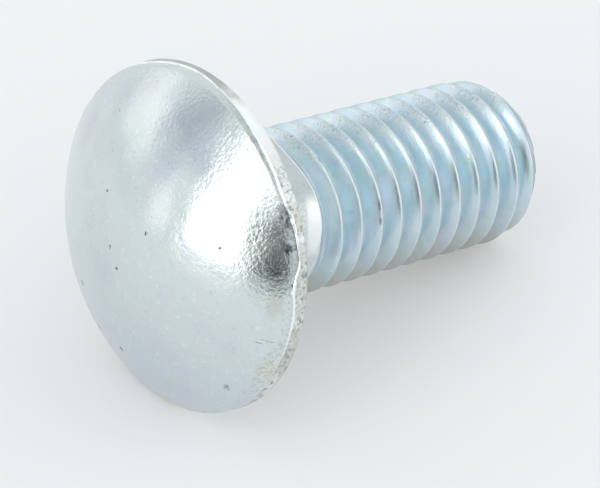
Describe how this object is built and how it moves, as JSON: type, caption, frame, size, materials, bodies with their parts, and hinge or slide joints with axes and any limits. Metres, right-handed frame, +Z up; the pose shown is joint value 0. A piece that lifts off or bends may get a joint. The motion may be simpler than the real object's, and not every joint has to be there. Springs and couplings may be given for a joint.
{
  "type": "carriage bolt",
  "caption": "Short zinc-plated carriage bolt: domed round head, square neck under it and a full-length rolled thread.",
  "frame": {"origin": "centre of the bounding box on the surface that the bolt lies on (z = 0)", "axes": "+X along the bolt's length towards its tip, +Z up; the bolt's own axis lies in the XZ plane and leans 13.9 degrees down towards +X"},
  "size_m": [0.0372, 0.0262, 0.0257],
  "materials": {
    "zinc_plate": "bright zinc plating, satin, with faint blue iridescence"
  },
  "bodies": {
    "root": {"bolt": "zinc_plate"}
  },
  "joints": []
}
